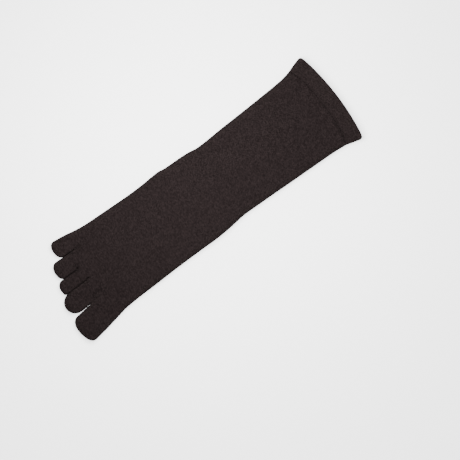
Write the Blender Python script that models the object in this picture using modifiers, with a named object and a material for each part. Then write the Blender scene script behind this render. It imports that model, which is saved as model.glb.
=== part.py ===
"""Toe sock for a right foot, empty and lying flat with its instep up.

A knitted tube makes the leg and the foot, a doubled welt ends the leg, and five toe pockets
close the foot. Every piece is a hollow knitted wall. +Y runs from the toes to the welt, +X
from the little toe to the big toe, and +Z up from the surface that the sock lies on.
Lengths are in metres.
"""

import math
from collections import namedtuple

import bmesh
import bpy

# Lengths along the sock
TOE_LENGTH = 0.0319  # the second toe pocket, the longest, from the toe line to its tip
FOOT_LENGTH = 0.167  # from the toe line to the back of the heel
LEG_LENGTH = 0.1195  # from the back of the heel to the welt's seam
WELT_HEIGHT = 0.0162

# Flat widths
TOE_LINE_WIDTH = 0.0977
FOOT_WIDTH = 0.0874
ANKLE_WIDTH = 0.0810
LEG_WIDTH = 0.0849
WELT_WIDTH = 0.1011

# Heights of the empty sock above the surface
TOE_THICKNESS = 0.0080
FOOT_THICKNESS = 0.0088
HEEL_THICKNESS = 0.0112  # the heel's spare cloth lies folded under here and lifts the instep
LEG_THICKNESS = 0.0090
WELT_THICKNESS = 0.0106

# Knitted walls
KNIT_WALL = 0.0013
WELT_WALL = 0.0022  # two layers, turned over at the rim
WELT_STEP = 0.0004  # how far the welt stands out from the leg
WELT_EDGE = 0.0007  # rounding of the turned rim

# Rounding of the folds at the sides, seen across the tube
SIDE_FOLD = 0.0056
TOE_FOLD = 0.0032
TOE_ROOT_FOLD = 0.0014  # tighter where neighbouring toe pockets share the toe line
DOME = 0.0009  # how much the middle of the top stands above its edges

# Clearances
PIECE_GAP = 0.0003
TOE_GAP = 0.0005

# Steps of the faceted surfaces
BODY_RINGS = 28
WELT_RINGS = 5
TOE_TUBE_RINGS = 4
TOE_TIP_RINGS = 6
TIP_LAST_ANGLE = math.radians(80)

Steps = namedtuple("Steps", "fold top underside")
BODY_STEPS = Steps(fold=4, top=8, underside=4)
TOE_STEPS = Steps(fold=3, top=4, underside=2)

# One row of the leg and foot: its place above the toe line, its two edges as shares of the
# width that it follows, its thickness, the slope of its line across the sock, and its bow
# towards the welt as a share of half its width.
BodyRow = namedtuple("BodyRow", "along left right thickness slope bow")


def body_row(along, width, left, right, thickness, slope=0.0, bow=0.0):
    """A row from the shares of its width."""
    return BodyRow(along, left * width, right * width, thickness, slope, bow)


BODY_ROWS = (
    body_row(0.0, TOE_LINE_WIDTH, -0.591, 0.409, TOE_THICKNESS, slope=-0.189),
    body_row(0.096 * FOOT_LENGTH, FOOT_WIDTH, -0.631, 0.426, 0.93 * FOOT_THICKNESS, slope=-0.14),
    body_row(0.217 * FOOT_LENGTH, FOOT_WIDTH, -0.611, 0.413, FOOT_THICKNESS, slope=-0.07),
    body_row(0.428 * FOOT_LENGTH, FOOT_WIDTH, -0.589, 0.410, FOOT_THICKNESS),
    body_row(0.580 * FOOT_LENGTH, FOOT_WIDTH, -0.578, 0.414, 0.98 * FOOT_THICKNESS),
    body_row(0.680 * FOOT_LENGTH, FOOT_WIDTH, -0.582, 0.422, 0.96 * HEEL_THICKNESS),
    body_row(0.740 * FOOT_LENGTH, FOOT_WIDTH, -0.583, 0.427, HEEL_THICKNESS),
    body_row(0.800 * FOOT_LENGTH, FOOT_WIDTH, -0.567, 0.427, HEEL_THICKNESS),
    body_row(0.892 * FOOT_LENGTH, FOOT_WIDTH, -0.552, 0.415, 0.96 * HEEL_THICKNESS),
    body_row(FOOT_LENGTH, ANKLE_WIDTH, -0.566, 0.434, 0.86 * HEEL_THICKNESS),
    body_row(FOOT_LENGTH + 0.16 * LEG_LENGTH, LEG_WIDTH, -0.541, 0.424, LEG_THICKNESS),
    body_row(FOOT_LENGTH + 0.40 * LEG_LENGTH, LEG_WIDTH, -0.547, 0.441, LEG_THICKNESS),
    body_row(FOOT_LENGTH + 0.64 * LEG_LENGTH, LEG_WIDTH, -0.555, 0.459, LEG_THICKNESS),
    body_row(FOOT_LENGTH + 0.84 * LEG_LENGTH, LEG_WIDTH, -0.562, 0.472, LEG_THICKNESS, bow=0.06),
    body_row(FOOT_LENGTH + LEG_LENGTH, LEG_WIDTH, -0.588, 0.497, 1.06 * LEG_THICKNESS, bow=0.168),
)
TOE_LINE = BODY_ROWS[0]
SEAM = BODY_ROWS[-1]
RIM = body_row(
    SEAM.along + WELT_HEIGHT, WELT_WIDTH, -0.537, 0.463, WELT_THICKNESS, slope=0.02, bow=0.151
)
BOW_POWER = 2.5  # above 2, so that the bowed lines run flatter in the middle

# One toe pocket: its share of the toe line, its length as a share of TOE_LENGTH, how far its
# left and right edges lean outwards for its length, its tip's rounding as a share of its width,
# how square that rounding is, and the slope of its last rows.
Toe = namedtuple("Toe", "name share length left_lean right_lean tip square tip_slope")
TOES = (
    Toe("little_toe", 0.174, 0.520, -0.24, -0.02, 0.40, 2.5, 0.0),
    Toe("fourth_toe", 0.178, 0.785, -0.03, 0.0, 0.42, 2.3, -0.05),
    Toe("third_toe", 0.143, 0.878, 0.0, 0.0, 0.50, 2.3, -0.10),
    Toe("second_toe", 0.214, 0.997, 0.015, 0.005, 0.48, 2.3, 0.0),
    Toe("big_toe", 0.291, 0.958, 0.15, 0.19, 0.31, 2.6, 0.12),
)

YARN = (0.030, 0.022, 0.022, 1.0)
YARN_ROUGHNESS = 0.95


def clear_scene():
    """Removes what the file holds."""
    for old in list(bpy.data.objects):
        bpy.data.objects.remove(old)


def knit_material(name):
    """Matt charcoal yarn."""
    material = bpy.data.materials.new(name)
    material.use_nodes = True
    shader = material.node_tree.nodes["Principled BSDF"]
    shader.inputs["Base Color"].default_value = YARN
    shader.inputs["Roughness"].default_value = YARN_ROUGHNESS
    shader.inputs["Metallic"].default_value = 0.0
    return material


def mix(start, end, share):
    """The value a share of the way from start to end."""
    return start + (end - start) * share


def row_between(rows, along):
    """The row at a place between two rows of a table, on a smooth curve through all of them."""
    last = len(rows) - 1
    upper = next((i for i in range(1, last) if rows[i].along >= along), last)
    lower = upper - 1
    span = rows[upper].along - rows[lower].along
    share = (along - rows[lower].along) / span

    def slope_at(i, column):
        before, after = rows[max(i - 1, 0)], rows[min(i + 1, last)]
        rise = getattr(after, column) - getattr(before, column)
        return rise / (after.along - before.along) * span

    def curve(column):
        start, end = getattr(rows[lower], column), getattr(rows[upper], column)
        leave, arrive = slope_at(lower, column), slope_at(upper, column)
        bend = share * share * (3 - 2 * share)
        ease_out = share * (1 - share) ** 2
        ease_in = share * share * (share - 1)
        return mix(start, end, bend) + ease_out * leave + ease_in * arrive

    return BodyRow(along, *(curve(column) for column in BodyRow._fields[1:]))


def flat_section(left, right, low, high, left_fold, right_fold, dome, steps):
    """(x, z) points round a flattened tube, from its right fold over the top and back."""
    middle = (low + high) / 2
    shoulder = high - dome
    folds = (
        (right - right_fold, right_fold, shoulder - middle, 0),
        (left + left_fold, left_fold, shoulder - middle, 1),
        (left + left_fold, left_fold, middle - low, 2),
        (right - right_fold, right_fold, middle - low, 3),
    )
    points = []
    for centre, reach, rise, quarter in folds:
        for step in range(steps.fold):
            angle = math.pi / 2 * (quarter + step / steps.fold)
            points.append((centre + reach * math.cos(angle), middle + rise * math.sin(angle)))
        if quarter == 0:
            for step in range(steps.top):
                share = step / steps.top
                x = mix(right - right_fold, left + left_fold, share)
                points.append((x, shoulder + dome * (1 - (2 * share - 1) ** 2)))
        if quarter == 2:
            for step in range(steps.underside):
                points.append((mix(left + left_fold, right - right_fold, step / steps.underside), low))
    return points


def ring_of(row, section):
    """The section's points, laid along the row's sloping and bowed line across the sock."""
    centre = (row.left + row.right) / 2
    half = (row.right - row.left) / 2
    ring = []
    for x, z in section:
        across = (x - centre) / half
        y = row.along + row.slope * (x - centre) + row.bow * half * (1 - abs(across) ** BOW_POWER)
        ring.append((x, y, z))
    return ring


def loft(name, rings, closed_tip=False):
    """An outer surface through rings of points, from the toes' side towards the welt."""
    mesh = bpy.data.meshes.new(name)
    skin = bmesh.new()
    lines = [[skin.verts.new(point) for point in ring] for ring in rings]
    for first, second in zip(lines, lines[1:]):
        for i in range(len(first)):
            after = (i + 1) % len(first)
            skin.faces.new((first[i], second[i], second[after], first[after]))
    if closed_tip:
        skin.faces.new(lines[0])
    skin.to_mesh(mesh)
    skin.free()
    mesh.shade_smooth()
    return bpy.data.objects.new(name, mesh)


def knit_shell(obj, wall, group, holder):
    """Gives an outer surface its wall, inwards, its yarn and its place in the model."""
    shell = obj.modifiers.new("wall", "SOLIDIFY")
    shell.thickness = wall
    shell.offset = -1
    shell.use_even_offset = True
    obj.data.materials.append(knit_material(obj.name + "_knit"))
    group.objects.link(obj)
    obj.parent = holder
    return obj


def body_ring(row, grow=0.0):
    """One ring of the leg, foot or welt. The underside stays on the surface."""
    section = flat_section(
        row.left - grow, row.right + grow, 0.0, row.thickness + grow, SIDE_FOLD, SIDE_FOLD, DOME, BODY_STEPS
    )
    return ring_of(row, section)


def leg_and_foot():
    """The tube from the toe line to the welt's seam, open at both ends."""
    rings = []
    for step in range(BODY_RINGS + 1):
        row = row_between(BODY_ROWS, mix(TOE_LINE.along, SEAM.along, step / BODY_RINGS))
        rings.append(body_ring(row))
    return loft("leg_and_foot", rings)


def welt():
    """The doubled band that ends the leg. It starts a gap above the seam and flares to the rim."""
    rings = []
    for step in range(WELT_RINGS + 1):
        share = step / WELT_RINGS
        flare = share * share
        row = BodyRow(
            mix(SEAM.along + PIECE_GAP, RIM.along, share),
            mix(SEAM.left, RIM.left, mix(share, flare, 0.3)),
            mix(SEAM.right, RIM.right, mix(share, flare, 0.3)),
            mix(SEAM.thickness, RIM.thickness - WELT_STEP, share),
            mix(SEAM.slope, RIM.slope, share),
            mix(SEAM.bow, RIM.bow, share),
        )
        rings.append(body_ring(row, grow=WELT_STEP))
    return loft("welt", rings)


def toe_edges(index):
    """The left and right ends of a toe pocket's root on the toe line, clear of its neighbours."""
    width = TOE_LINE.right - TOE_LINE.left
    before = sum(toe.share for toe in TOES[:index])
    left = TOE_LINE.left + width * before
    right = left + width * TOES[index].share
    if index > 0:
        left += TOE_GAP / 2
    if index < len(TOES) - 1:
        right -= TOE_GAP / 2
    return left, right


def toe_line_along(x):
    """How far along the sock the toe line lies at this place across it."""
    return TOE_LINE.along + TOE_LINE.slope * (x - (TOE_LINE.left + TOE_LINE.right) / 2)


def toe_pocket(index):
    """One toe pocket: open at the toe line and closed at its tip."""
    toe = TOES[index]
    root_left, root_right = toe_edges(index)
    root = toe_line_along((root_left + root_right) / 2) - PIECE_GAP
    length = TOE_LENGTH * toe.length
    tip = toe.tip * (root_right - root_left)
    tube = length - tip
    left_outside, right_outside = index == 0, index == len(TOES) - 1

    # Each ring: its distance from the root, and its width and thickness as shares of the tube's
    stations = [(tube * step / TOE_TUBE_RINGS, 1.0, 1.0) for step in range(TOE_TUBE_RINGS)]
    for step in range(TOE_TIP_RINGS + 1):
        angle = TIP_LAST_ANGLE * step / TOE_TIP_RINGS
        reach = tip * math.sin(angle)
        near_end = max(0.0, 1 - (tip - reach) / (TOE_THICKNESS / 2))
        narrow = (1 - math.sin(angle) ** toe.square) ** (1 / toe.square)
        stations.append((tube + reach, narrow, math.sqrt(1 - near_end**2)))

    rings = []
    for reach, narrow, thin in stations:
        share = reach / length
        left_edge = root_left + toe.left_lean * reach
        right_edge = root_right + toe.right_lean * reach
        middle = (left_edge + right_edge) / 2
        half = (right_edge - left_edge) / 2 * narrow
        inner_fold = mix(TOE_ROOT_FOLD, TOE_FOLD, min(1.0, 3 * share)) * narrow
        outer_fold = mix(SIDE_FOLD, TOE_FOLD, min(1.0, 2 * share)) * narrow
        section = flat_section(
            middle - half,
            middle + half,
            TOE_THICKNESS / 2 * (1 - thin),
            TOE_THICKNESS / 2 * (1 + thin),
            outer_fold if left_outside else inner_fold,
            outer_fold if right_outside else inner_fold,
            DOME * thin,
            TOE_STEPS,
        )
        slope = mix(TOE_LINE.slope, toe.tip_slope, share)
        rings.append(
            ring_of(BodyRow(root - reach, middle - half, middle + half, TOE_THICKNESS, slope, 0.0), section)
        )
    rings.reverse()
    return loft(toe.name, rings, closed_tip=True)


def round_edges(obj, width):
    """Rounds the edges at both ends of a shell."""
    edge = obj.modifiers.new("rounded_edge", "BEVEL")
    edge.width = width
    edge.segments = 2
    edge.limit_method = "ANGLE"
    edge.angle_limit = math.radians(50)


def centre_on_surface(holder, pieces):
    """Moves the holder so that the origin is the middle of the sock's footprint."""
    corners = [vertex.co for piece in pieces for vertex in piece.data.vertices]
    for axis in (0, 1):
        values = [corner[axis] for corner in corners]
        holder.location[axis] = -(min(values) + max(values)) / 2
    holder.location[2] = -min(corner[2] for corner in corners)


def build():
    clear_scene()
    group = bpy.data.collections.new("toe_sock")
    bpy.context.scene.collection.children.link(group)
    holder = bpy.data.objects.new("sock_origin", None)
    group.objects.link(holder)

    band = knit_shell(welt(), WELT_WALL, group, holder)
    round_edges(band, WELT_EDGE)
    pieces = [band, knit_shell(leg_and_foot(), KNIT_WALL, group, holder)]
    for index in range(len(TOES)):
        pieces.append(knit_shell(toe_pocket(index), KNIT_WALL, group, holder))
    centre_on_surface(holder, pieces)


build()
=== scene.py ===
"""Looks of the toe sock: its knitted cloth, its welt, a pale floor, soft light and the camera.

The frame is the part's own: +Y from the toes to the welt, +X from the little toe to the big
toe, +Z up from the floor. The tables, and all lengths named here, are in millimetres.
"""

import math
from collections import namedtuple

import bpy
import numpy as np
from mathutils import Matrix, Vector, noise


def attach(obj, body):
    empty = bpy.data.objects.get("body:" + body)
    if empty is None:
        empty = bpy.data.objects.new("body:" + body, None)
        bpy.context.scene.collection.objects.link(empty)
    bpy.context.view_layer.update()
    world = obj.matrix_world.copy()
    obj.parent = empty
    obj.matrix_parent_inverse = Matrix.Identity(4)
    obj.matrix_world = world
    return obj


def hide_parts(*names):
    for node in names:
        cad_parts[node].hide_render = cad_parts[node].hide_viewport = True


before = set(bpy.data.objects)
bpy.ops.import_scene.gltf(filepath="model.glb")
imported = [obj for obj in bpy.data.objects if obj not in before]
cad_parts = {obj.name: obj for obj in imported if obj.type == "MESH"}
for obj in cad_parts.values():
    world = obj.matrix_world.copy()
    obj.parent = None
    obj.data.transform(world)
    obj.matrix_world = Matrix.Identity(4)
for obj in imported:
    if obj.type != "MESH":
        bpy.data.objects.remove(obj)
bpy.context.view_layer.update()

MM = 0.001

# The sock's outline seen from above and its height, by distance along it
Outline = namedtuple("Outline", "along left right height")
OUTLINE = (
    Outline(-149.7, -53.9, 48.6, 8.0),
    Outline(-143.7, -53.6, 47.1, 8.0),
    Outline(-137.7, -53.3, 46.2, 8.0),
    Outline(-130.7, -52.5, 45.0, 8.1),
    Outline(-123.7, -51.2, 43.9, 8.2),
    Outline(-117.7, -49.8, 43.5, 8.3),
    Outline(-111.7, -48.7, 43.3, 8.5),
    Outline(-103.7, -47.7, 43.2, 8.7),
    Outline(-95.7, -47.1, 43.2, 8.8),
    Outline(-87.7, -46.6, 43.3, 8.8),
    Outline(-77.7, -46.0, 43.3, 8.8),
    Outline(-67.7, -45.4, 43.2, 8.8),
    Outline(-53.7, -44.6, 43.3, 8.8),
    Outline(-39.7, -44.3, 43.5, 8.8),
    Outline(-31.7, -44.4, 43.7, 9.6),
    Outline(-23.7, -44.7, 43.9, 10.4),
    Outline(-17.7, -44.9, 44.1, 10.8),
    Outline(-13.7, -44.8, 44.3, 11.1),
    Outline(-9.7, -43.9, 44.4, 11.2),
    Outline(-3.7, -43.3, 44.3, 11.1),
    Outline(4.3, -42.9, 44.0, 11.0),
    Outline(12.3, -42.5, 43.5, 10.6),
    Outline(18.3, -42.0, 42.9, 10.3),
    Outline(22.3, -41.5, 42.5, 10.1),
    Outline(26.3, -40.7, 42.3, 9.9),
    Outline(30.3, -40.0, 42.2, 9.6),
    Outline(36.3, -39.8, 42.5, 9.4),
    Outline(44.3, -39.9, 42.9, 9.2),
    Outline(60.3, -40.4, 43.6, 9.0),
    Outline(80.3, -40.6, 44.7, 9.0),
    Outline(100.3, -40.9, 45.7, 9.0),
    Outline(120.3, -41.3, 46.7, 9.1),
    Outline(132.3, -41.7, 47.3, 9.2),
    Outline(140.3, -42.2, 47.9, 9.3),
    Outline(146.3, -43.1, 48.7, 9.4),
    Outline(150.3, -44.0, 49.1, 9.5),
    Outline(156.3, -45.9, 50.9, 9.6),
    Outline(165.3, -48.3, 53.6, 9.7),
    Outline(174.3, -50.8, 56.3, 9.8),
)

# Each toe pocket: the wales across its top, its two edges at the root and where its tip
# begins, where the tip ends and how deep it is, how square its two corners are, and its slope
Toe = namedtuple("Toe", "wales root end tip depth square slope")
TOES = (
    Toe(14, (-51.8, -34.3), (-54.8, -35.3), -146.5, 7.2, (2.15, 2.5), -0.03),
    Toe(15, (-34.7, -16.4), (-36.4, -17.1), -158.1, 7.7, (2.0, 2.7), -0.03),
    Toe(12, (-17.0, -2.7), (-18.1, -3.0), -163.9, 7.0, (1.9, 5.0), -0.03),
    Toe(18, (-3.3, 18.7), (-3.6, 19.5), -171.0, 12.5, (2.05, 2.05), 0.0),
    Toe(25, (18.7, 47.6), (20.8, 51.2), -174.4, 9.3, (2.15, 2.6), 0.12),
)

# Where the toe pockets part, from the little toe's side
Crotch = namedtuple("Crotch", "across along")
CROTCHES = (
    Crotch(-34.5, -126.7),
    Crotch(-16.8, -138.2),
    Crotch(-3.0, -135.5),
    Crotch(18.8, -148.1),
)
TOE_LINE_ENDS = (-125.7, -145.2)

# The cloth between two toe pockets: its wales from top to underside
SIDE_WALES = 5

# Soft valleys in the cloth: the two ends of each valley's line, its width and its depth
Valley = namedtuple("Valley", "x0 y0 x1 y1 width depth")
VALLEYS = (
    Valley(-34.5, -128.0, -34.5, -122.0, 0.9, 2.2),
    Valley(-16.8, -139.5, -17.6, -136.6, 0.9, 2.6),
    Valley(-17.6, -136.6, -20.5, -135.2, 0.9, 2.4),
    Valley(-3.0, -137.0, -3.2, -134.0, 0.9, 3.0),
    Valley(18.8, -149.5, 17.6, -138.5, 1.0, 1.8),
    Valley(15.6, -145.0, 13.6, -134.5, 1.6, 1.6),
    Valley(13.6, -132.5, 10.6, -130.5, 2.0, 1.1),
    Valley(-47.1, -136.7, -47.6, -126.7, 2.8, 0.9),
    Valley(10.7, -149.7, 12.7, -138.7, 4.5, 0.7),
    Valley(-30.8, 147.8, -13.8, 153.4, 3.0, 0.8),
    Valley(-13.8, 154.4, 4.0, 154.6, 1.0, 0.45),
)

# The gores where the heel's turn is knitted in, on the underside
GORES = (
    Valley(-39.8, 28.0, -19.0, 9.0, 1.6, 0.35),
    Valley(-44.0, -12.0, -19.0, 9.0, 1.6, 0.35),
    Valley(42.0, 28.0, 21.0, 9.0, 1.6, 0.35),
    Valley(44.3, -12.0, 21.0, 9.0, 1.6, 0.35),
)

# The knit: a stitch's height, the cloth's thickness, how far the side folds reach in, and how
# far the top swells above them
COURSE_HEIGHT = 0.78
KNIT_WALL = 1.25
SIDE_FOLD = 4.6
TOE_FOLD = 1.9
DOME = 0.9

# Soft waves in the top of the cloth: their height, wavelength and seed
Waves = namedtuple("Waves", "height length seed")
BODY_WAVES = (Waves(0.45, 38.0, 3.1), Waves(0.2, 15.0, 7.7))
TOE_WAVES = Waves(0.12, 9.0, 21.0)
WELT_WAVES = Waves(0.25, 24.0, 5.3)
WAVES_START = 12.0
WELT_WAVES_START = 10.0

# How far the toe pockets take to change from the foot's section to their own
SECTION_BLEND = 5.0
LEVEL_BLEND = 12.0

# The mesh: columns to a wale, and the rows' spacing behind the toes and along the leg
PER_WALE = 2
FOREFOOT = 40.0
FOREFOOT_STEP = 1.4
LEG_STEP = 3.0

# The welt and its seam, and how far the leg is tucked into it
SEAM_TUCK = 0.25
SEAM_BASE = 150.2
SEAM_BOW = 7.4
SEAM_POWER = 2.5
RIM_BASE = 168.2
RIM_BOW = 5.5
RIM_POWER = 2.0
RIM_CORNER = 3.0
RIM_CORNER_POWER = 24
WELT_HEIGHTS = (9.65, 10.4)
WELT_WALL = 2.2
WELT_LIP = 0.3
WELT_COLUMNS = 168
WELT_WALE = 0.625
WELT_COURSE = 0.6
SEAM_RIDGE = 0.22

# The yarn's colour, in linear light
YARN = (0.0158, 0.0114, 0.0114)

# The camera, straight above the sock
VIEW_WIDTH = 460.0
VIEW_CENTRE = (45.29, 7.06)
VIEW_TURN = math.radians(52.3)
VIEW_DISTANCE = 1800.0
VIEW_LEVEL = 4.5


def smooth(share):
    """0 to 1 with soft ends."""
    share = np.clip(share, 0.0, 1.0)
    return share * share * (3 - 2 * share)


def table_curve(rows, column):
    """A smooth curve through a table's column, as a function of the distance along."""
    at = np.array([row.along for row in rows])
    values = np.array([getattr(row, column) for row in rows])
    slopes = np.gradient(values, at)

    def curve(along):
        along = np.clip(along, at[0], at[-1])
        i = np.clip(np.searchsorted(at, along) - 1, 0, len(at) - 2)
        span = at[i + 1] - at[i]
        t = (along - at[i]) / span
        rising = values[i + 1] * t * t * (3 - 2 * t) + slopes[i + 1] * span * t * t * (t - 1)
        falling = values[i] * (1 + 2 * t) * (1 - t) ** 2 + slopes[i] * span * t * (1 - t) ** 2
        return falling + rising

    return curve


left_edge = table_curve(OUTLINE, "left")
right_edge = table_curve(OUTLINE, "right")
height_at = table_curve(OUTLINE, "height")


def seam_along(across):
    """The seam's distance along the sock, for places from -1 to 1 across it."""
    return SEAM_BASE + SEAM_BOW * (1 - np.abs(across) ** SEAM_POWER)


def rim_along(across):
    """The rim's distance along the sock, for places from -1 to 1 across it."""
    bow = RIM_BOW * (1 - np.abs(across) ** RIM_POWER)
    return RIM_BASE + bow - RIM_CORNER * np.abs(across) ** RIM_CORNER_POWER


def fold_profile(distance, fold):
    """How far a flattened tube has opened, from 0 at its edge to 1 past the side fold."""
    share = np.clip(distance / fold, 0.0, 1.0)
    return np.sqrt(np.maximum(0.0, 1 - (1 - share) ** 2))


def spaced_places(fractions, half, rise, fold):
    """Places from 0 to 1 across, for even steps over the cloth with its two side folds."""
    fine = (1 - np.cos(np.linspace(0, np.pi, 241))) / 2
    edge = half * (1 - np.abs(2 * fine - 1))
    z = rise * fold_profile(edge, fold)
    steps = np.hypot(np.diff(fine) * 2 * half, np.diff(z))
    length = np.concatenate([[0.0], np.cumsum(steps)])
    return np.interp(fractions * length[-1], length, fine)


def soft_waves(x, y, waves, seed=0.0):
    """The height of soft waves in the cloth at each place."""
    level = waves.seed + seed
    places = [Vector((px / waves.length, py / waves.length, level)) for px, py in zip(x, y)]
    return waves.height * np.array([noise.noise(place) for place in places])


def valley_depth(x, y, valleys=VALLEYS):
    """How deep these valleys are at each place."""
    depth = np.zeros_like(x)
    for v in valleys:
        dx, dy = v.x1 - v.x0, v.y1 - v.y0
        length = math.hypot(dx, dy)
        along = ((x - v.x0) * dx + (y - v.y0) * dy) / length
        beside = ((x - v.x0) * dy - (y - v.y0) * dx) / length
        past = np.maximum(0.0, np.maximum(-along, along - length))
        fade = np.exp(-((past / (1.3 * v.width)) ** 2))
        depth += v.depth * np.exp(-((beside / v.width) ** 2)) * fade
    return depth


class Skin:
    """Collects points, faces and the knit's coordinates, and makes one mesh of them."""

    def __init__(self):
        self.points = []
        self.faces = []
        self.knit = []

    def add(self, points):
        """Adds points and returns their numbers."""
        first = len(self.points)
        self.points.extend(points)
        return list(range(first, first + len(points)))

    def face(self, corners, knit):
        self.faces.append(corners)
        self.knit.append(knit)

    def band(self, lower, upper, wales, courses):
        """Quads between two rings: lower and upper ring, first wale and wale step, courses."""
        first, step = wales
        size = len(lower)
        for i in range(size):
            after = (i + 1) % size
            u0, u1 = first + i * step, first + (i + 1) * step
            knit = ((u0, courses[0]), (u1, courses[0]), (u1, courses[1]), (u0, courses[1]))
            self.face((lower[i], lower[after], upper[after], upper[i]), knit)

    def object(self, name):
        mesh = bpy.data.meshes.new(name)
        mesh.from_pydata([tuple(c * MM for c in p) for p in self.points], [], self.faces)
        layer = mesh.uv_layers.new(name="knit")
        flat = [c for face in self.knit for corner in face for c in corner]
        layer.data.foreach_set("uv", flat)
        mesh.shade_smooth()
        made = bpy.data.objects.new(name, mesh)
        bpy.context.scene.collection.objects.link(made)
        return made


def wale_marks():
    """The columns at the sock's left edge, at each crotch and at its right edge."""
    return np.concatenate([[0], np.cumsum([toe.wales * PER_WALE for toe in TOES])])


def root_places():
    """Where each column crosses the toe line, from 0 to 1, with a column at every crotch."""
    marks = [0.0]
    for crotch in CROTCHES:
        left, right = left_edge(crotch.along), right_edge(crotch.along)
        marks.append(float((crotch.across - left) / (right - left)))
    marks.append(1.0)
    counts = wale_marks()
    return np.interp(np.arange(counts[-1] + 1), counts, marks)


def toe_line():
    """The toe line's distance along the sock at each column."""
    counts = wale_marks()
    along = [TOE_LINE_ENDS[0]] + [crotch.along for crotch in CROTCHES] + [TOE_LINE_ENDS[1]]
    return np.interp(np.arange(counts[-1] + 1), counts, along)


def body_layer(x, y, across, upper):
    """The height of the foot and leg's upper or lower skin at each place."""
    half = (right_edge(y) - left_edge(y)) / 2
    edge = half * (1 - np.abs(across))
    opened = fold_profile(edge, SIDE_FOLD)
    middle = (height_at(y) - DOME) / 2
    if not upper:
        return middle * (1 - opened) + valley_depth(x, y, GORES) * smooth(edge / 3.0)
    inner = smooth(edge / WAVES_START)
    waves = sum(soft_waves(x, y, kind) for kind in BODY_WAVES)
    z = middle + middle * opened + DOME * (1 - across**2) + inner * waves
    return z - valley_depth(x, y) * smooth(edge / 4.0)


def knit_body(skin):
    """Adds the foot and leg, ring by ring from the toe line, and returns the first ring."""
    roots = root_places()
    columns = len(roots)
    fractions = np.linspace(0, 1, columns)
    start = toe_line()
    end = seam_along(2 * fractions - 1) + SEAM_TUCK
    length = float(np.mean(end - start))
    near = np.linspace(0, FOREFOOT, round(FOREFOOT / FOREFOOT_STEP) + 1)
    far = np.linspace(FOREFOOT, length, round((length - FOREFOOT) / LEG_STEP) + 1)
    first = previous = None
    last_reach = 0.0
    for reach in np.concatenate([near, far[1:]]):
        t = reach / length
        y = start + (end - start) * t
        left, right = left_edge(y), right_edge(y)
        half = float(np.mean(right - left)) / 2
        even = spaced_places(fractions, half, float(np.mean(height_at(y))) / 2, SIDE_FOLD)
        place = even + (roots - even) * (1 - smooth(t * 8))
        x = left + (right - left) * place
        upper = body_layer(x, y, 2 * place - 1, True)
        lower = body_layer(x, y, 2 * place - 1, False)
        points = [(x[i], y[i], upper[i]) for i in range(columns)]
        points += [(x[i], y[i], lower[i]) for i in range(columns - 2, 0, -1)]
        ring = skin.add(points)
        if previous:
            courses = (last_reach / COURSE_HEIGHT, reach / COURSE_HEIGHT)
            skin.band(previous, ring, (0, 1 / PER_WALE), courses)
        else:
            first = ring
        previous, last_reach = ring, reach
    return first


def toe_section(edges, levels, dome, wales, walls):
    """Points round a toe pocket: over its top, down its right side, back, and up its left."""
    steps, side_steps = wales * PER_WALE, SIDE_WALES * PER_WALE
    left, right = edges
    low, high = levels
    middle, rise = (low + high) / 2, (high - low) / 2
    centre, half = (left + right) / 2, (right - left) / 2
    fold = min(TOE_FOLD, 0.75 * half)

    def side_point(angle, sign):
        reach = half - fold + fold * math.cos(angle)
        return centre + sign * reach, middle + rise * math.sin(angle)

    def half_round(corners, turn):
        """Even steps from the left corner to the right one, over the top or under the foot."""
        left_angles = np.linspace(corners[0], math.pi / 2, 13)
        right_angles = np.linspace(math.pi / 2, corners[1], 13)
        line = [side_point(turn * angle, -1) for angle in left_angles]
        line += [side_point(turn * angle, 1) for angle in right_angles]
        line = np.array(line)
        if turn > 0:
            line[:, 1] += dome * np.maximum(0.0, 1 - ((line[:, 0] - centre) / half) ** 2)
        length = np.concatenate([[0.0], np.cumsum(np.hypot(*np.diff(line, axis=0).T))])
        at = np.linspace(0, length[-1], steps + 1)
        columns = [np.interp(at, length, line[:, 0]), np.interp(at, length, line[:, 1])]
        return [tuple(point) for point in np.column_stack(columns)]

    corners = [math.pi / 4 if wall else 0.0 for wall in walls]
    points = half_round(corners, 1)
    below = half_round(corners, -1)[::-1]
    if walls[1]:
        swing = corners[1]
        points += [side_point(swing * (1 - 2 * k / side_steps), 1) for k in range(1, side_steps)]
        points += below
    else:
        points += below[1:]
    if walls[0]:
        swing = corners[0]
        points += [side_point(swing * (2 * k / side_steps - 1), -1) for k in range(1, side_steps)]
    else:
        points.pop()
    return np.array(points)


def knit_toes(skin, root_ring):
    """Adds the toe pockets, each joined to the foot and to its neighbours at the toe line."""
    marks = wale_marks()
    columns = marks[-1] + 1
    steps = SIDE_WALES * PER_WALE
    upper = root_ring[:columns]
    lower = [root_ring[0]] + root_ring[columns:][::-1] + [root_ring[columns - 1]]
    left_wall = []
    for index, toe in enumerate(TOES):
        start, end = marks[index], marks[index + 1]
        walls = (index > 0, index < len(TOES) - 1)
        right_wall = []
        if walls[1]:
            top, foot = np.array(skin.points[upper[end]]), np.array(skin.points[lower[end]])
            between = [top + (foot - top) * k / steps for k in range(1, steps)]
            right_wall = skin.add([tuple(point) for point in between])
        below = lower[start : end + 1][::-1]
        ring = upper[start : end + 1] + right_wall
        ring += below if walls[1] else below[1:]
        if walls[0]:
            ring += left_wall[::-1]
        else:
            ring.pop()
        toe_pocket(skin, toe, ring, start / PER_WALE, walls)
        left_wall = right_wall


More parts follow.
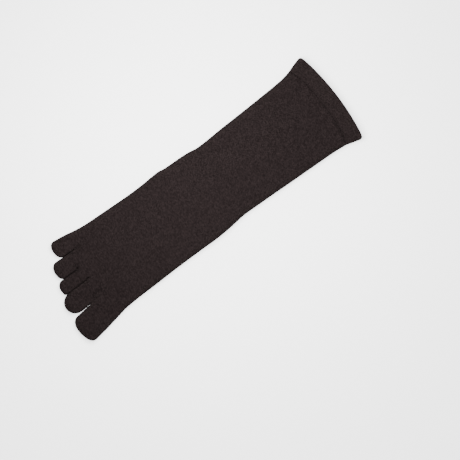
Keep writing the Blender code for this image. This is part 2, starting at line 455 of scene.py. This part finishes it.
def toe_stations(toe, length):
    """The rings of a toe pocket: how far from its root, its two half widths and its height."""
    height = float(height_at(toe.tip + length))
    tube = length - toe.depth
    tube_rows = max(6, int(tube / 1.4))
    stations = [(tube * k / tube_rows, (1.0, 1.0), 1.0) for k in range(1, tube_rows)]
    tip_rows = 11
    for k in range(tip_rows + 1):
        turn = math.sin(math.radians(86) * k / tip_rows)
        reach = toe.depth * turn
        narrow = [(1 - turn**square) ** (1 / square) for square in toe.square]
        near = max(0.0, 1 - (toe.depth - reach) / (0.62 * height))
        stations.append((tube + reach, narrow, math.sqrt(1 - near**2.2)))
    return stations, height


def toe_pocket(skin, toe, ring, first_wale, walls):
    """Adds one toe pocket, from its ring of points at the root to its tip."""
    root = np.array([skin.points[i] for i in ring])
    root_along = float(np.mean(root[:, 1]))
    length = root_along - toe.tip
    stations, height = toe_stations(toe, length)
    root_span = toe.root[1] - toe.root[0]
    previous, last_reach = ring, 0.0
    for reach, narrow, thin in stations:
        share = reach / length
        left, right = [a + (b - a) * share for a, b in zip(toe.root, toe.end)]
        centre, half = (left + right) / 2, (right - left) / 2
        edges = (centre - half * narrow[0], centre + half * narrow[1])
        dome = DOME * thin
        levels = (height / 2 * (1 - thin), height / 2 * (1 + thin) - dome)
        section = toe_section(edges, levels, dome, toe.wales, walls)
        blend = float(smooth(reach / SECTION_BLEND))
        spread = left + (root[:, 0] - toe.root[0]) / root_span * (right - left)
        x = spread * (1 - blend) + section[:, 0] * blend
        z = root[:, 2] * (1 - blend) + section[:, 1] * blend
        level = root[:, 1] + (root_along - root[:, 1]) * min(1.0, reach / LEVEL_BLEND)
        y = level - reach + toe.slope * share * (x - centre)
        top = smooth((z - height * 0.5) / (height * 0.3)) * blend
        z = z - top * (valley_depth(x, y) - soft_waves(x, y, TOE_WAVES, first_wale))
        numbers = skin.add([tuple(point) for point in np.column_stack([x, y, z])])
        courses = (-reach / COURSE_HEIGHT, -last_reach / COURSE_HEIGHT)
        skin.band(numbers, previous, (first_wale, 1 / PER_WALE), courses)
        previous, last_reach = numbers, reach
    skin.face(tuple(previous), [(first_wale, -length / COURSE_HEIGHT)] * len(previous))


def build_knit():
    """The foot, the leg and the toe pockets, as one piece of knitted cloth."""
    skin = Skin()
    knit_toes(skin, knit_body(skin))
    cloth = skin.object("sock_knit")
    wall = cloth.modifiers.new("wall", "SOLIDIFY")
    wall.thickness = KNIT_WALL * MM
    wall.offset = -1
    return cloth


def welt_profile():
    """The welt's section: share of its length, distance past that, depth under its outside."""
    lip = WELT_LIP
    rows = []
    for k in range(5):
        angle = math.pi / 2 * k / 4
        rows.append((0.0, lip - lip * math.cos(angle), lip - lip * math.sin(angle)))
    rows += [(0.0, lip + 0.35 * k, 0.0) for k in range(1, 6)]
    reach = rows[-1][1]
    round_edge = WELT_WALL / 2
    for k in range(1, 11):
        share = k / 10
        rows.append((share, reach * (1 - share) - round_edge * share, 0.0))
    for k in range(1, 9):
        angle = math.pi * k / 8
        past = round_edge * math.sin(angle) - round_edge
        rows.append((1.0, past, round_edge - round_edge * math.cos(angle)))
    for k in range(1, 9):
        share = 1 - k / 8
        rows.append((share, lip * (1 - share) - round_edge * share, WELT_WALL))
    for k in range(1, 3):
        angle = math.pi / 2 * k / 3
        rows.append((0.0, lip - lip * math.sin(angle), WELT_WALL - lip + lip * math.cos(angle)))
    return rows


def welt_ring(share, past, inset):
    """One ring of the welt: over its top from left to right, and back along its underside."""
    fractions = np.linspace(0, 1, WELT_COLUMNS + 1)
    across = 2 * fractions - 1
    seam, rim = seam_along(across), rim_along(across)
    y = seam + (rim - seam) * share + past
    left, right = left_edge(y) + inset, right_edge(y) - inset
    height = WELT_HEIGHTS[0] + (WELT_HEIGHTS[1] - WELT_HEIGHTS[0]) * share
    middle = (height - DOME) / 2
    rise = middle - inset
    half = float(np.mean(right - left)) / 2
    place = spaced_places(fractions, half, rise, SIDE_FOLD)
    edge = (right - left) / 2 * (1 - np.abs(2 * place - 1))
    opened = fold_profile(edge, SIDE_FOLD - 0.5 * inset)
    x = left + (right - left) * place
    ridge = 0.0
    if share == 0.0 and inset < WELT_LIP:
        stitches = 0.75 + 0.25 * np.cos(np.arange(WELT_COLUMNS + 1) * math.pi)
        ridge = SEAM_RIDGE * math.exp(-(((past - 1.1) / 0.45) ** 2)) * stitches
    waves = soft_waves(x, y, WELT_WAVES) * smooth(edge / WELT_WAVES_START)
    upper = middle + rise * opened + DOME * (1 - (2 * place - 1) ** 2) + waves + ridge * opened
    lower = middle - rise * opened
    last = WELT_COLUMNS
    points = [(x[i], y[i], upper[i]) for i in range(last + 1)]
    points += [(x[i], y[i], lower[i]) for i in range(last - 1, 0, -1)]
    return points


def build_welt():
    """The doubled band that ends the leg, closed in itself."""
    skin = Skin()
    rings = [skin.add(welt_ring(*row)) for row in welt_profile()]
    for k, ring in enumerate(rings):
        after = rings[(k + 1) % len(rings)]
        course = 1.1 / WELT_COURSE
        skin.band(ring, after, (0, WELT_WALE), (k * course, (k + 1) * course))
    return skin.object("welt_band")


def node_maker(material):
    """A short way to add nodes and links to a material."""
    tree = material.node_tree

    def make(kind, inputs=(), **settings):
        node = tree.nodes.new(kind)
        for name, value in settings.items():
            setattr(node, name, value)
        for socket, value in inputs:
            if isinstance(value, bpy.types.NodeSocket):
                tree.links.new(value, node.inputs[socket])
            else:
                node.inputs[socket].default_value = value
        return node

    return make


def knit_material(name, bump_depth):
    """Fine plain knit: a column of small Vs in each wale, in fuzzy heathered yarn, with painted
    shade in the dips between the stitches' legs and loops.
    """
    material = bpy.data.materials.new(name)
    material.use_nodes = True
    make = node_maker(material)
    shader = material.node_tree.nodes["Principled BSDF"]

    def math_node(operation, *values):
        made = make("ShaderNodeMath", list(enumerate(values)), operation=operation)
        return made.outputs[0]

    knit_uv = make("ShaderNodeUVMap", uv_map="knit").outputs["UV"]
    place = make("ShaderNodeTexCoord").outputs["Object"]
    wander = make("ShaderNodeTexNoise", [("Vector", place), ("Scale", 420.0), ("Detail", 1.0)])
    parts = make("ShaderNodeSeparateXYZ", [(0, knit_uv)]).outputs
    shift = math_node("MULTIPLY_ADD", wander.outputs[0], 0.5, -0.25)
    wales = math_node("ADD", parts[0], shift)
    courses = math_node("ADD", parts[1], shift)

    # Each wale's own two legs, and how far each leg climbs
    beside = math_node("SUBTRACT", math_node("FRACT", wales), 0.5)
    leg = math_node("ABSOLUTE", beside)
    climb = math_node("MULTIPLY", leg, 1.3)
    loop = math_node("SUBTRACT", courses, climb)
    along = math_node("FRACT", loop)
    leg_round = math_node("SINE", math_node("MULTIPLY", leg, 2 * math.pi))
    loop_round = math_node("SINE", math_node("MULTIPLY", along, math.pi))
    swell = math_node("MULTIPLY_ADD", math_node("POWER", loop_round, 0.6), 0.6, 0.4)
    stitch = math_node("MULTIPLY", math_node("POWER", leg_round, 0.6), swell)

    # Fibres, the heather of each stitch, and painted shade that darkens the colour in the dips
    # between each stitch's legs and loops
    cell = make("ShaderNodeCombineXYZ", [
        (0, math_node("FLOOR", wales)),
        (1, math_node("FLOOR", loop)),
    ]).outputs[0]
    own = make("ShaderNodeTexWhiteNoise", [("Vector", cell)], noise_dimensions="3D").outputs[0]
    fibre = make("ShaderNodeTexNoise", [("Vector", place), ("Scale", 2600.0), ("Detail", 4.0)])
    cloud = make("ShaderNodeTexNoise", [("Vector", place), ("Scale", 500.0), ("Detail", 2.0)])
    heather = math_node("MULTIPLY_ADD", own, 0.7, 0.65)
    heather = math_node("MULTIPLY", heather, math_node("MULTIPLY_ADD", fibre.outputs[0], 0.9, 0.55))
    heather = math_node("MULTIPLY", heather, math_node("MULTIPLY_ADD", cloud.outputs[0], 0.6, 0.70))
    # Painted shade: the yarn's colour is made darker where each stitch's surface dips, between its
    # legs and between its loops
    depth = math_node("MULTIPLY_ADD", stitch, 0.55, 0.50)
    # The heather's random tone, times that painted shade
    heather_and_painted_shade = math_node("MULTIPLY", heather, depth)
    colour = make("ShaderNodeMix", data_type="RGBA", blend_type="MULTIPLY")
    colour.inputs[0].default_value = 1.0
    colour.inputs[6].default_value = (*YARN, 1.0)
    material.node_tree.links.new(heather_and_painted_shade, colour.inputs[7])
    material.node_tree.links.new(colour.outputs[2], shader.inputs["Base Color"])

    fuzz = math_node("MULTIPLY_ADD", fibre.outputs[0], 0.35, stitch)
    bump = make("ShaderNodeBump", [("Height", fuzz), ("Strength", 1.0)])
    bump.inputs["Distance"].default_value = bump_depth * MM
    material.node_tree.links.new(bump.outputs[0], shader.inputs["Normal"])
    shader.inputs["Roughness"].default_value = 0.95
    shader.inputs["Specular IOR Level"].default_value = 0.0
    shader.inputs["Sheen Weight"].default_value = 0.004
    shader.inputs["Sheen Roughness"].default_value = 0.6
    return material


def build_floor():
    """A plain near-white ground, just under the sock, that gives off a little light itself."""
    mesh = bpy.data.meshes.new("ground")
    size = 3.0
    low = -0.0002
    corners = [(-size, -size, low), (size, -size, low), (size, size, low), (-size, size, low)]
    mesh.from_pydata(corners, [], [(0, 1, 2, 3)])
    ground = bpy.data.objects.new("ground", mesh)
    bpy.context.scene.collection.objects.link(ground)
    paper = bpy.data.materials.new("paper")
    paper.use_nodes = True
    shader = paper.node_tree.nodes["Principled BSDF"]
    shader.inputs["Base Color"].default_value = (0.92, 0.92, 0.92, 1.0)
    shader.inputs["Roughness"].default_value = 0.9
    shader.inputs["Specular IOR Level"].default_value = 0.1
    shader.inputs["Emission Color"].default_value = (1.0, 1.0, 1.0, 1.0)
    shader.inputs["Emission Strength"].default_value = 2.0
    mesh.materials.append(paper)


def add_softbox(name, place, aim, size, power):
    """A square soft light, aimed at a point."""
    lamp = bpy.data.lights.new(name, "AREA")
    lamp.shape = "SQUARE"
    lamp.size = size * MM
    lamp.energy = power
    box = bpy.data.objects.new(name, lamp)
    here = Vector(place) * MM
    box.location = here
    box.rotation_euler = (Vector(aim) * MM - here).to_track_quat("-Z", "Y").to_euler()
    bpy.context.scene.collection.objects.link(box)


def build_light():
    """White surroundings, and a soft light above the heel, a little to the little toe's side."""
    world = bpy.data.worlds.new("studio")
    world.use_nodes = True
    world.node_tree.nodes["Background"].inputs[0].default_value = (1.0, 1.0, 1.0, 1.0)
    world.node_tree.nodes["Background"].inputs[1].default_value = 0.85
    bpy.context.scene.world = world
    add_softbox("key", (-60.0, 30.0, 330.0), (0.0, 20.0, 0.0), 260.0, 4.0)


def build_camera():
    """A long lens straight above, with the toes at the lower left of its picture."""
    data = bpy.data.cameras.new("camera")
    data.sensor_width = 36.0
    data.lens = 36.0 * VIEW_DISTANCE / VIEW_WIDTH
    data.clip_end = 10.0
    camera = bpy.data.objects.new("camera", data)
    right = (math.cos(VIEW_TURN), math.sin(VIEW_TURN), 0.0)
    up = (-math.sin(VIEW_TURN), math.cos(VIEW_TURN), 0.0)
    turn = Matrix((right, up, (0.0, 0.0, 1.0))).transposed().to_4x4()
    place = Vector((*VIEW_CENTRE, VIEW_DISTANCE + VIEW_LEVEL)) * MM
    camera.matrix_world = Matrix.Translation(place) @ turn
    bpy.context.scene.collection.objects.link(camera)
    bpy.context.scene.camera = camera


build_camera()
build_floor()
build_light()

knit = build_knit()
knit.data.materials.append(knit_material("charcoal_knit", 0.28))
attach(knit, "root")
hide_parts("leg_and_foot", "big_toe", "second_toe", "third_toe", "fourth_toe", "little_toe")

welt = build_welt()
welt.data.materials.append(knit_material("charcoal_welt_knit", 0.18))
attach(welt, "root")
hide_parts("welt")
